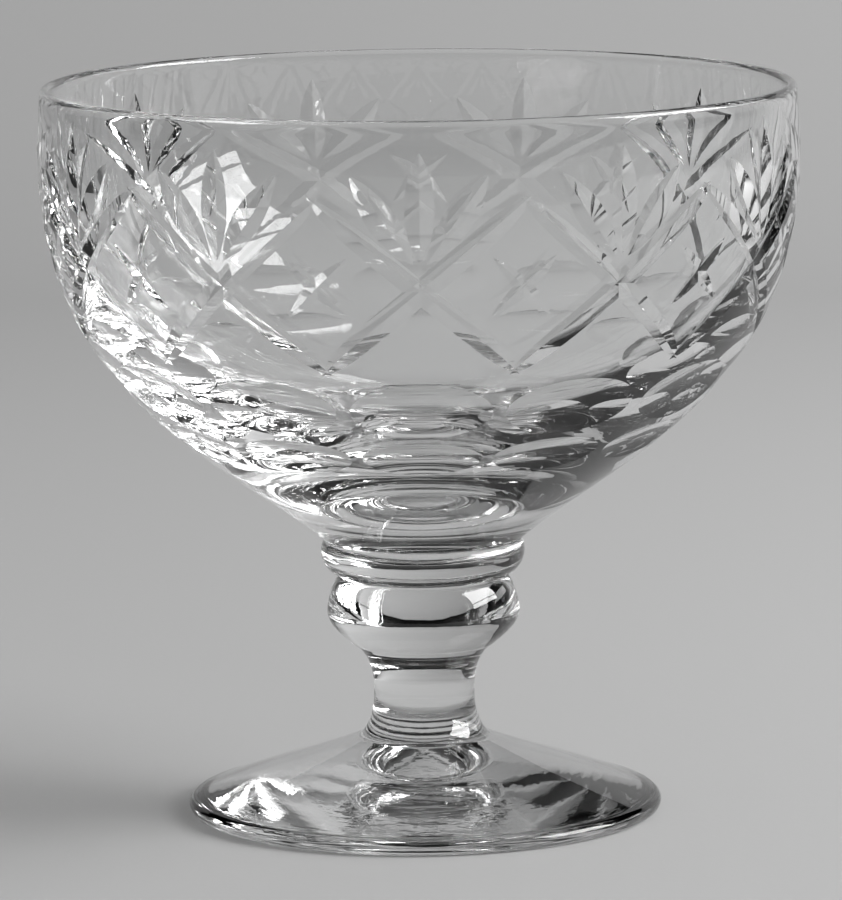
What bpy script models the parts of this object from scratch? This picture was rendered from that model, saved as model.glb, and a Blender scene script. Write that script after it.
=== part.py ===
"""Footed sherbet glass with a cut bowl, as four pieces of clear glass joined hot on one axis.

Metres, +Z up, the foot's resting ring on Z = 0 and the axis on X = Y = 0. The front is -Y.
"""

import math

import bmesh
import bpy
import numpy as np

MM = 0.001

# Driving dimensions of the pieces
JOINT_GAP = 0.3 * MM
FOOT_RADIUS = 30.0 * MM
FOOT_HEIGHT = 9.3 * MM
FOOT_EDGE = 2.1 * MM
FOOT_HOLLOW = 6.2 * MM
FOOT_SLOPE = 0.40
REST_INSET = 1.75 * MM
REST_WIDTH = 1.0 * MM
STEM_HEIGHT = 20.4 * MM
STEM_NECK_RADIUS = 10.4 * MM
KNOP_RADIUS = 12.2 * MM
KNOP_SHARE = 0.214
HIP_SHARE = 0.417
HIP_WIDTH = 0.469
WAIST_SHARE = 0.693
COLUMN_SHARE = 0.755
COLUMN_RADIUS = 6.4 * MM
STEM_BASE_RADIUS = 8.6 * MM
COLLAR_RADIUS = 12.9 * MM
COLLAR_HEIGHT = 4.3 * MM
COLLAR_EDGE_INSET = 0.6 * MM
BOWL_HEIGHT = 57.6 * MM
BOWL_RADIUS = 47.8 * MM
RIM_LEAN = 0.4 * MM
RIM_WALL = 1.4 * MM
BOWL_BASE_RADIUS = 12.6 * MM
BOWL_BASE_LEAN = math.radians(48.9)
BOWL_FULLNESS = 0.623
BOWL_FLOOR = 8.2 * MM
TURN_WIDTH = 0.743
TURN_RISE = 0.425
TURN_SLANT = 1.32
TURN_PULL = 0.163
LIP_LEAN = math.radians(3.9)
LIP_PULL = 0.278
SHOULDER_DROP = 8.5 * MM

# Driving dimensions of the cutting
LATTICE_COUNT = 11
OVAL_COUNT = 12
HAND_SPACING = 0.06
CROSSING_DROP = 20.1 * MM
LATTICE_RISE = 20.9 * MM
LATTICE_REACH = 0.53
MITRE_DEPTH = 0.53 * MM
SECOND_CUT = 0.9
MITRE_HALF_ANGLE = math.radians(71)
PETAL_DEPTH = 0.66 * MM
FAN_START = 3.0 * MM
FAN_LENGTH = 13.4 * MM
FAN_SIDE_LENGTH = 10.6 * MM
FAN_SPREAD = 0.32
FAN_FOOT = 0.03
SMALL_CROSS_DEPTH = 0.37 * MM
SMALL_CROSS_SPREAD = 0.15
SMALL_CROSS_RISE = 3.9 * MM
OVAL_DROP = 36.2 * MM
OVAL_HALF_HEIGHT = 4.7 * MM
OVAL_FILL = 0.455
OVAL_DEPTH = 1.0 * MM
LOWER_OVAL_DROP = 42.8 * MM
LOWER_OVAL_HALF_HEIGHT = 3.5 * MM
LOWER_OVAL_DEPTH = 0.7 * MM
CUT_CLEARANCE = 0.7 * MM
CUT_RUNOUT = 0.08 * MM
LONG_CUT_POWER = 6
SHORT_CUT_POWER = 2
OVAL_RINGS = (0.6, 1.12)

# Pulls that shape the knop, as shares of how far it swells out of the neck
CROWN_OUT = 0.615
CROWN_DROP = 0.269
KNOP_ABOVE = 0.648
KNOP_BELOW = 1.02

# Pulls at the hip and the foot of the stem, as shares of what the stem narrows, its height and its flare
HIP_ABOVE = (0.185, 0.166)
HIP_BELOW = (0.158, 0.078)
WAIST_PULL = 0.176
FLARE_DROP = 0.5
FLARE_END = (0.55, 0.05)

# Pulls that shape the collar's edge, as shares of its height
COLLAR_BROW = 0.33
COLLAR_BROW_PULL = 0.19
COLLAR_TUCK_PULL = 0.4
COLLAR_TUCK_END = (0.256, 0.047)

# Pulls that shape the foot's hollow, as shares of its radius and its height
HOLLOW_LOW = (0.753, 0.251)
HOLLOW_HIGH = (0.337, 0.641)

# Steps round the axis and along the curves
BOWL_STEPS = 72
FOOT_STEPS = 60
STEM_STEPS = 40
LONG_CUT_STEPS = 8
PETAL_STEPS = 5
SMALL_CROSS_STEPS = 4
OVAL_STEPS = 14

# Glass
CLEAR_TINT = (0.985, 0.99, 0.99)
GLASS_INDEX = 1.545

# Sizes that follow from the others
RIM_RADIUS = BOWL_RADIUS - RIM_LEAN
REST_RADIUS = FOOT_RADIUS - REST_INSET
STEM_BOTTOM = FOOT_HEIGHT + JOINT_GAP
STEM_TOP = STEM_BOTTOM + STEM_HEIGHT
COLLAR_BOTTOM = STEM_TOP + JOINT_GAP
COLLAR_TOP = COLLAR_BOTTOM + COLLAR_HEIGHT
BOWL_BOTTOM = COLLAR_TOP + JOINT_GAP
BOWL_TOP = BOWL_BOTTOM + BOWL_HEIGHT


def clear_scene():
    """Removes the objects of the startup scene."""
    for item in list(bpy.data.objects):
        bpy.data.objects.remove(item, do_unlink=True)


def new_collection(name):
    """A collection under the scene's own."""
    made = bpy.data.collections.new(name)
    bpy.context.scene.collection.children.link(made)
    return made


def glass_material(name):
    """Clear lead glass as a Principled material."""
    made = bpy.data.materials.new(name)
    made.use_nodes = True
    shader = made.node_tree.nodes["Principled BSDF"]
    shader.inputs["Base Color"].default_value = (*CLEAR_TINT, 1.0)
    shader.inputs["Transmission Weight"].default_value = 1.0
    shader.inputs["Roughness"].default_value = 0.0
    shader.inputs["IOR"].default_value = GLASS_INDEX
    return made


def curve(start, first, second, end, count):
    """Points of a cubic curve after its start, as an array of (radius, height)."""
    share = np.linspace(0.0, 1.0, count + 1)[1:, None]
    rest = 1.0 - share
    corners = [np.array(point) for point in (start, first, second, end)]
    weights = (rest**3, 3 * share * rest**2, 3 * share**2 * rest, share**3)
    return sum(weight * corner for weight, corner in zip(weights, corners))


def outline(*stretches):
    """One outline from points and arrays of points, top to bottom down the outer side."""
    return np.vstack([np.atleast_2d(np.array(stretch, float)) for stretch in stretches])


def turned(name, points, steps, collection, material):
    """A body turned about Z from an outline that starts and ends on the axis."""
    mesh = bpy.data.meshes.new(name)
    corners = [(radius, 0.0, height) for radius, height in points]
    edges = [(index, index + 1) for index in range(len(corners) - 1)]
    mesh.from_pydata(corners, edges, [])
    mesh.materials.append(material)
    body = bpy.data.objects.new(name, mesh)
    collection.objects.link(body)
    screw = body.modifiers.new("Turn", "SCREW")
    screw.axis = "Z"
    screw.angle = math.tau
    screw.steps = steps
    screw.render_steps = steps
    screw.use_merge_vertices = True
    screw.merge_threshold = 0.00001
    screw.use_smooth_shade = True
    return body


def foot_outline():
    """Low dome with a flat pad for the stem, a rounded edge, a resting ring and a conical hollow."""
    pad = (STEM_BASE_RADIUS + JOINT_GAP, FOOT_HEIGHT)
    half_edge = FOOT_EDGE / 2
    brow = (FOOT_RADIUS - half_edge, FOOT_EDGE)
    reach = (brow[0] - pad[0]) / 3
    steep = reach * FOOT_SLOPE
    dome = curve(pad, (pad[0] + reach, pad[1] - steep), (brow[0] - reach, brow[1] + steep), brow, 8)
    turn = np.linspace(math.pi / 2, -math.pi / 2, 7)[1:-1]
    edge = np.stack([brow[0] + half_edge * np.cos(turn), half_edge + half_edge * np.sin(turn)], 1)
    inner = REST_RADIUS - REST_WIDTH
    low = (HOLLOW_LOW[0] * inner, HOLLOW_LOW[1] * FOOT_HOLLOW)
    high = (HOLLOW_HIGH[0] * inner, HOLLOW_HIGH[1] * FOOT_HOLLOW)
    hollow = curve((inner, 0.0), low, high, (0.0, FOOT_HOLLOW), 6)
    return outline((0.0, FOOT_HEIGHT), pad, dome, edge, (REST_RADIUS, 0.0), (inner, 0.0), hollow)


def stem_outline():
    """Neck, round knop, plain column and flared base."""
    neck = (STEM_NECK_RADIUS, STEM_TOP)
    widest = (KNOP_RADIUS, STEM_TOP - KNOP_SHARE * STEM_HEIGHT)
    narrow = KNOP_RADIUS - COLUMN_RADIUS
    hip = (COLUMN_RADIUS + HIP_WIDTH * narrow, STEM_TOP - HIP_SHARE * STEM_HEIGHT)
    column = (COLUMN_RADIUS, STEM_TOP - WAIST_SHARE * STEM_HEIGHT)
    flare_start = (COLUMN_RADIUS, STEM_TOP - COLUMN_SHARE * STEM_HEIGHT)
    base = (STEM_BASE_RADIUS, STEM_BOTTOM)
    swell = KNOP_RADIUS - STEM_NECK_RADIUS
    fall = flare_start[1] - base[1]
    splay = STEM_BASE_RADIUS - COLUMN_RADIUS
    over = (STEM_NECK_RADIUS + CROWN_OUT * swell, STEM_TOP - CROWN_DROP * swell)
    crown = curve(neck, over, (KNOP_RADIUS, widest[1] + KNOP_ABOVE * swell), widest, 4)
    above_hip = (hip[0] + HIP_ABOVE[0] * narrow, hip[1] + HIP_ABOVE[1] * narrow)
    below_hip = (hip[0] - HIP_BELOW[0] * narrow, hip[1] - HIP_BELOW[1] * narrow)
    cheek = curve(widest, (KNOP_RADIUS, widest[1] - KNOP_BELOW * swell), above_hip, hip, 5)
    over_waist = (COLUMN_RADIUS, column[1] + WAIST_PULL * STEM_HEIGHT)
    sweep = curve(hip, below_hip, over_waist, column, 5)
    pull = (COLUMN_RADIUS + FLARE_END[0] * splay, base[1] + FLARE_END[1] * fall)
    flare = curve(flare_start, (COLUMN_RADIUS, flare_start[1] - FLARE_DROP * fall), pull, base, 6)
    return outline((0.0, STEM_TOP), neck, crown, cheek, sweep, flare_start, flare, (0.0, STEM_BOTTOM))


def collar_outline():
    """Disc with a rounded edge under the bowl."""
    top = (COLLAR_RADIUS - COLLAR_EDGE_INSET, COLLAR_TOP)
    widest = (COLLAR_RADIUS, COLLAR_TOP - COLLAR_BROW * COLLAR_HEIGHT)
    low = (STEM_NECK_RADIUS, COLLAR_BOTTOM)
    over = (COLLAR_RADIUS - COLLAR_EDGE_INSET / 3, COLLAR_TOP)
    beside = (COLLAR_RADIUS, widest[1] + COLLAR_BROW_PULL * COLLAR_HEIGHT)
    below = (COLLAR_RADIUS, widest[1] - COLLAR_TUCK_PULL * COLLAR_HEIGHT)
    under = (low[0] + COLLAR_TUCK_END[0] * COLLAR_HEIGHT, low[1] + COLLAR_TUCK_END[1] * COLLAR_HEIGHT)
    brow = curve(top, over, beside, widest, 3)
    tuck = curve(widest, below, under, low, 5)
    return outline((0.0, COLLAR_TOP), top, brow, tuck, (0.0, COLLAR_BOTTOM))


def bowl_side(count):
    """Outer side of the bowl below its lip, as points from the shoulder down to the base."""
    shoulder = (BOWL_RADIUS, BOWL_TOP - SHOULDER_DROP)
    base = (BOWL_BASE_RADIUS, BOWL_BOTTOM)
    fall = shoulder[1] - base[1]
    pull = fall / 3
    first = (BOWL_RADIUS, shoulder[1] - BOWL_FULLNESS * fall)
    second = (base[0] + pull * math.sin(BOWL_BASE_LEAN), base[1] + pull * math.cos(BOWL_BASE_LEAN))
    return outline(shoulder, curve(shoulder, first, second, base, count))


def bowl_outline():
    """Inside as a dish and an upright flank, the rounded lip, then the outer side down to the base."""
    half_lip = RIM_WALL / 2
    lip = (RIM_RADIUS - half_lip, BOWL_TOP - half_lip)
    inner_rim = (RIM_RADIUS - RIM_WALL, lip[1])
    floor = (0.0, BOWL_BOTTOM + BOWL_FLOOR)
    turn = (TURN_WIDTH * BOWL_RADIUS, BOWL_BOTTOM + TURN_RISE * BOWL_HEIGHT)
    slant = TURN_SLANT * BOWL_RADIUS / BOWL_HEIGHT
    lean = math.atan(slant)
    corner = turn[0] - (turn[1] - floor[1]) * slant
    near_floor = (corner * 2 / 3, floor[1])
    near_turn = ((turn[0] + 2 * corner) / 3, (turn[1] + 2 * floor[1]) / 3)
    dish = curve(floor, near_floor, near_turn, turn, 6)
    pull = TURN_PULL * BOWL_HEIGHT
    drop = LIP_PULL * BOWL_HEIGHT
    over_turn = (turn[0] + pull * math.sin(lean), turn[1] + pull * math.cos(lean))
    under_lip = (inner_rim[0] + drop * math.sin(LIP_LEAN), inner_rim[1] - drop * math.cos(LIP_LEAN))
    flank = curve(turn, over_turn, under_lip, inner_rim, 7)
    round_lip = np.linspace(math.pi, 0.0, 5)[1:-1]
    rim = np.stack([lip[0] + half_lip * np.cos(round_lip), lip[1] + half_lip * np.sin(round_lip)], 1)
    return outline(floor, dish, flank, rim, (RIM_RADIUS, lip[1]), bowl_side(12), (0.0, BOWL_BOTTOM))


class Wall:
    """The bowl's outer side, addressed by a turn from the front and a length down from the rim."""

    def __init__(self):
        line = outline((RIM_RADIUS, BOWL_TOP), bowl_side(80))
        steps = np.hypot(*np.diff(line, axis=0).T)
        self.line = line
        self.length = np.concatenate([[0.0], np.cumsum(steps)])

    def down(self, drop):
        """Length down the side at a height below the rim."""
        return np.interp(drop, BOWL_TOP - self.line[:, 1], self.length)

    def radius(self, length):
        """Radius at a length down the side."""
        return np.interp(length, self.length, self.line[:, 0])

    def places(self, turn, length):
        """Points and outward directions at matching arrays of turn and length."""
        small = 0.05 * MM
        height = np.interp(length, self.length, self.line[:, 1])
        radius = self.radius(length)
        rise = np.interp(length - small, self.length, self.line[:, 1]) - np.interp(
            length + small, self.length, self.line[:, 1]
        )
        widen = self.radius(length - small) - self.radius(length + small)
        across = np.stack([np.sin(turn), -np.cos(turn), np.zeros_like(turn)], -1)
        out = rise[..., None] * across - widen[..., None] * np.array([0.0, 0.0, 1.0])
        out /= np.linalg.norm(out, axis=-1, keepdims=True)
        return radius[..., None] * across + height[..., None] * np.array([0.0, 0.0, 1.0]), out


def hand_turn(index, count):
    """Turn of a hand-marked division, a little closer together at the front than at the back."""
    even = math.tau * index / count
    return even - HAND_SPACING * math.sin(even)


def groove(wall, start, end, depth, power, stations):
    """Corners and faces of a V-edged cutter that follows the wall between two (turn, length) places.

    The depth is greatest halfway and falls to nothing at both ends.
    """
    share = np.linspace(0.0, 1.0, stations)
    turn = start[0] + share * (end[0] - start[0])
    length = start[1] + share * (end[1] - start[1])
    points, out = wall.places(turn, length)
    along = np.gradient(points, axis=0)
    side = np.cross(along, out)
    side /= np.linalg.norm(side, axis=1, keepdims=True)
    sink = depth * (1.0 - np.abs(2.0 * share - 1.0) ** power)
    sink[[0, -1]] = -CUT_RUNOUT
    spread = (sink + CUT_CLEARANCE) * math.tan(MITRE_HALF_ANGLE)
    keel = points - out * sink[:, None]
    left = points + out * CUT_CLEARANCE - side * spread[:, None]
    right = points + out * CUT_CLEARANCE + side * spread[:, None]
    corners = np.stack([keel, right, left], 1).reshape(-1, 3)
    faces = [(0, 1, 2), tuple(3 * (stations - 1) + corner for corner in (2, 1, 0))]
    for station in range(stations - 1):
        base = 3 * station
        for corner in range(3):
            after = (corner + 1) % 3
            faces.append((base + corner, base + 3 + corner, base + 3 + after, base + after))
    return corners, faces


def scoop(wall, turn, drop, half_width, half_height, depth):
    """Corners and faces of a cutter that leaves an oval hollow in the wall."""
    rings = np.array(OVAL_RINGS)
    around = np.linspace(0.0, math.tau, OVAL_STEPS, endpoint=False)
    middle = wall.down(drop)
    shares = np.concatenate([[0.0], np.repeat(rings, len(around))])
    angles = np.concatenate([[0.0], np.tile(around, len(rings))])
    length = middle + half_height * shares * np.sin(angles)
    turns = turn + half_width * shares * np.cos(angles) / wall.radius(np.full_like(shares, middle))
    points, out = wall.places(turns, length)
    floor = points - out * (depth * (1.0 - shares**2))[:, None]
    top = points + out * CUT_CLEARANCE
    corners = np.vstack([floor, top])
    count = len(around)
    above = len(floor)
    faces = []
    for spot in range(count):
        after = (spot + 1) % count
        faces.append((0, 1 + after, 1 + spot))
        faces.append((above, above + 1 + spot, above + 1 + after))
        for ring in range(len(rings) - 1):
            near = 1 + ring * count
            far = near + count
            faces.append((near + spot, near + after, far + after, far + spot))
            faces.append((above + near + spot, above + far + spot, above + far + after, above + near + after))
        last = 1 + (len(rings) - 1) * count
        faces.append((last + spot, last + after, above + last + after, above + last + spot))
    return corners, faces


def cutter(name, shapes, collection):
    """One helper object from cutters that don't touch each other."""
    corners = []
    faces = []
    for points, loops in shapes:
        base = len(corners)
        corners.extend(map(tuple, points))
        faces.extend(tuple(base + corner for corner in loop) for loop in loops)
    mesh = bpy.data.meshes.new(name)
    mesh.from_pydata(corners, [], faces)
    work = bmesh.new()
    work.from_mesh(mesh)
    bmesh.ops.recalc_face_normals(work, faces=work.faces)
    work.to_mesh(mesh)
    work.free()
    helper = bpy.data.objects.new(name, mesh)
    collection.objects.link(helper)
    helper.hide_render = True
    helper.display_type = "WIRE"
    return helper


def cutter_families(wall):
    """The cutters by name, each family with shapes that stay clear of each other."""
    families = {}
    crossing = wall.down(CROSSING_DROP)
    high = wall.down(CROSSING_DROP - LATTICE_REACH * LATTICE_RISE)
    low = wall.down(CROSSING_DROP + LATTICE_REACH * LATTICE_RISE)
    step = math.tau / LATTICE_COUNT
    for index in range(LATTICE_COUNT):
        here = hand_turn(index, LATTICE_COUNT)
        pitch = hand_turn(index + 0.5, LATTICE_COUNT) - hand_turn(index - 0.5, LATTICE_COUNT)
        fan = crossing - FAN_START
        for side, word, share in ((-1, "left", SECOND_CUT), (1, "right", 1.0)):
            before = hand_turn(index - LATTICE_REACH * side, LATTICE_COUNT)
            after = hand_turn(index + LATTICE_REACH * side, LATTICE_COUNT)
            depth = share * MITRE_DEPTH
            long_cut = groove(wall, (before, low), (after, high), depth, LONG_CUT_POWER, LONG_CUT_STEPS)
            families.setdefault("long_mitres_" + word, []).append(long_cut)
            tip = (here + side * FAN_SPREAD * pitch, fan - FAN_SIDE_LENGTH)
            root = (here + side * FAN_FOOT * pitch, fan)
            petal = groove(wall, root, tip, PETAL_DEPTH, SHORT_CUT_POWER, PETAL_STEPS)
            families.setdefault("fan_sides_" + word, []).append(petal)
            middle = hand_turn(index + 0.5, LATTICE_COUNT)
            reach = SMALL_CROSS_SPREAD * step * side
            start = (middle - reach, crossing + SMALL_CROSS_RISE)
            end = (middle + reach, crossing - SMALL_CROSS_RISE)
            small = groove(wall, start, end, share * SMALL_CROSS_DEPTH, SHORT_CUT_POWER, SMALL_CROSS_STEPS)
            families.setdefault("small_cross_" + word, []).append(small)
        top = (here, fan - FAN_LENGTH)
        centre = groove(wall, (here, fan), top, PETAL_DEPTH, SHORT_CUT_POWER, PETAL_STEPS)
        families.setdefault("fan_centres", []).append(centre)
    rows = (
        ("ovals", OVAL_DROP, OVAL_HALF_HEIGHT, OVAL_DEPTH),
        ("lower_ovals", LOWER_OVAL_DROP, LOWER_OVAL_HALF_HEIGHT, LOWER_OVAL_DEPTH),
    )
    for name, drop, half_height, depth in rows:
        for index in range(OVAL_COUNT):
            here = hand_turn(index, OVAL_COUNT)
            pitch = hand_turn(index + 0.5, OVAL_COUNT) - hand_turn(index - 0.5, OVAL_COUNT)
            half_width = OVAL_FILL * pitch * float(wall.radius(wall.down(drop)))
            families.setdefault(name, []).append(scoop(wall, here, drop, half_width, half_height, depth))
    return families


def cut_bowl(bowl, collection):
    """Adds one Boolean to the bowl for each family of cutters."""
    for name, shapes in cutter_families(Wall()).items():
        cut = bowl.modifiers.new(name, "BOOLEAN")
        cut.operation = "DIFFERENCE"
        cut.solver = "EXACT"
        cut.object = cutter(name, shapes, collection)


def main():
    """Builds the four pieces and the bowl's cutters."""
    clear_scene()
    glass = new_collection("sherbet_glass")
    helpers = new_collection("cutters")
    helpers.hide_render = True
    turned("foot", foot_outline(), FOOT_STEPS, glass, glass_material("foot_glass"))
    turned("stem", stem_outline(), STEM_STEPS, glass, glass_material("stem_glass"))
    turned("collar", collar_outline(), STEM_STEPS, glass, glass_material("collar_glass"))
    bowl = turned("bowl", bowl_outline(), BOWL_STEPS, glass, glass_material("bowl_glass"))
    cut_bowl(bowl, helpers)


main()
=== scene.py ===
"""Looks of the cut sherbet glass: four pieces of clear lead glass on a grey studio sweep.

Metres, +Z up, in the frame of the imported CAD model. The front of the glass is -Y.
"""

import logging
import math
from dataclasses import dataclass, field
from enum import Enum

import bpy
import numpy as np
from mathutils import Matrix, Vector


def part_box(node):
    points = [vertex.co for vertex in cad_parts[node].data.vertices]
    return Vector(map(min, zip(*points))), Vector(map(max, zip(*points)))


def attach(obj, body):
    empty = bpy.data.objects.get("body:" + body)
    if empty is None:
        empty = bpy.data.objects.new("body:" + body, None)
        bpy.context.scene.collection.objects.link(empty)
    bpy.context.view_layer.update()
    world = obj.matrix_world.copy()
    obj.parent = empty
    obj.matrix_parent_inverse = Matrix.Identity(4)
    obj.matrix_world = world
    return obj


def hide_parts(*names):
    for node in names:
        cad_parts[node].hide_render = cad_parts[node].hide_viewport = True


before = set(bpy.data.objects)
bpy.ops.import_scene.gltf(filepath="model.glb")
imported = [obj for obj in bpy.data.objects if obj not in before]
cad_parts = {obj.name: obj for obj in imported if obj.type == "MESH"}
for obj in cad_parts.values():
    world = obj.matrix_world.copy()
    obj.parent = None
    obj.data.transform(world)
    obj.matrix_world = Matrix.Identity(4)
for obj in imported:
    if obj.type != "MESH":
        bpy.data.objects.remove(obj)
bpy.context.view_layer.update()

log = logging.getLogger("sherbet_glass")

MM = 0.001
STEPS_ROUND = 264
SAME_HEIGHT = 1e-7
TURNED_CREASE = math.radians(40)
CUT_CREASE = math.radians(22)


class Face(Enum):
    """Which surface of a piece a face belongs to, as its material's place in the mesh."""

    SKIN = 0
    FUSED = 1
    CUT = 2


def cubic(
    start: tuple[float, float],
    first: tuple[float, float],
    second: tuple[float, float],
    end: tuple[float, float],
    count: int,
) -> np.ndarray:
    """Points of a cubic curve after its start: the four corners weighted by the Bernstein polynomials.

    Args:
        start: First corner, as (radius, height).
        first: Corner that pulls the curve's beginning.
        second: Corner that pulls the curve's end.
        end: Last corner.
        count: Number of points.

    Returns:
        An array of count (radius, height) rows.
    """
    share = np.linspace(0.0, 1.0, count + 1)[1:, None]
    rest = 1.0 - share
    corners = [np.array(point) for point in (start, first, second, end)]
    weights = (rest**3, 3 * share * rest**2, 3 * share**2 * rest, share**3)
    return sum(weight * corner for weight, corner in zip(weights, corners))


def joined(*stretches: np.ndarray | tuple[float, float]) -> np.ndarray:
    """One outline from points and arrays of points.

    Args:
        stretches: Points and arrays of points, in order down the outer side.

    Returns:
        An array of (radius, height) rows.
    """
    return np.vstack([np.atleast_2d(np.array(stretch, float)) for stretch in stretches])


def turned_mesh(name: str, outline: np.ndarray, fused_heights: tuple[float, ...]) -> bpy.types.Mesh:
    """A closed mesh turned about Z from an outline whose two ends are on the axis.

    A point goes round as (radius sin turn, -radius cos turn, height), and the two ends are single points.

    Args:
        name: Name of the mesh.
        outline: (radius, height) rows that run down the outer side.
        fused_heights: Heights of the flat faces where the piece is fused to its neighbour.

    Returns:
        The mesh, with its fused faces marked by material place.
    """
    turn = np.linspace(0.0, math.tau, STEPS_ROUND, endpoint=False)
    radius = outline[1:-1, 0][:, None]
    height = np.broadcast_to(outline[1:-1, 1][:, None], (len(outline) - 2, STEPS_ROUND))
    grid = np.stack([radius * np.sin(turn), -radius * np.cos(turn), height], -1).reshape(-1, 3)
    points = np.vstack([[(0.0, 0.0, outline[0, 1])], grid, [(0.0, 0.0, outline[-1, 1])]])
    rows = len(outline) - 2
    spot = np.arange(STEPS_ROUND)
    after = (spot + 1) % STEPS_ROUND
    base = 1 + STEPS_ROUND * np.arange(rows - 1)[:, None]
    under = base + STEPS_ROUND
    sides = np.stack([base + spot, under + spot, under + after, base + after], -1)
    last = 1 + STEPS_ROUND * (rows - 1)
    top = np.stack([np.zeros_like(spot), 1 + spot, 1 + after], -1)
    bottom = np.stack([np.full_like(spot, len(points) - 1), last + after, last + spot], -1)
    faces = top.tolist() + sides.reshape(-1, 4).tolist() + bottom.tolist()
    mesh = bpy.data.meshes.new(name)
    mesh.from_pydata(points.tolist(), [], faces)
    mesh.polygons.foreach_set("use_smooth", np.ones(len(faces), bool))
    ends = np.stack([outline[:-1, 1], outline[1:, 1]], 1)
    gaps = np.abs(ends[:, :, None] - np.array(fused_heights)).max(axis=1)
    marks = np.where(gaps.min(axis=1) < SAME_HEIGHT, Face.FUSED.value, Face.SKIN.value)
    mesh.polygons.foreach_set("material_index", np.repeat(marks, STEPS_ROUND).astype(np.int32))
    mesh.set_sharp_from_angle(angle=TURNED_CREASE)
    mesh.update()
    return mesh


@dataclass
class Stack:
    """Heights that the pieces share, read from the frame.

    Fused joints lie halfway in the CAD's gaps.
    """

    foot_top: float = field(init=False)
    stem_top: float = field(init=False)
    collar_top: float = field(init=False)
    rim: float = field(init=False)

    def __post_init__(self) -> None:
        """Reads the joints from the CAD nodes' boxes."""
        order = ("foot", "stem", "collar", "bowl")
        low = {name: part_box(name)[0][2] for name in order}
        high = {name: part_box(name)[1][2] for name in order}
        joints = [(high[under] + low[over]) / 2 for under, over in zip(order, order[1:])]
        self.foot_top, self.stem_top, self.collar_top = joints
        self.rim = high["bowl"]


def node_radius(name: str) -> float:
    """Half the width of a CAD node in metres."""
    low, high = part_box(name)
    return (high[0] - low[0]) / 2


def maths(nodes: bpy.types.Nodes, kind: str, operation: str) -> bpy.types.ShaderNode:
    """A new maths node.

    Args:
        nodes: Nodes of the tree that it joins.
        kind: Type of the node, for numbers or for vectors.
        operation: What it works out.

    Returns:
        The node.
    """
    made = nodes.new(kind)
    made.operation = operation
    return made


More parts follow.
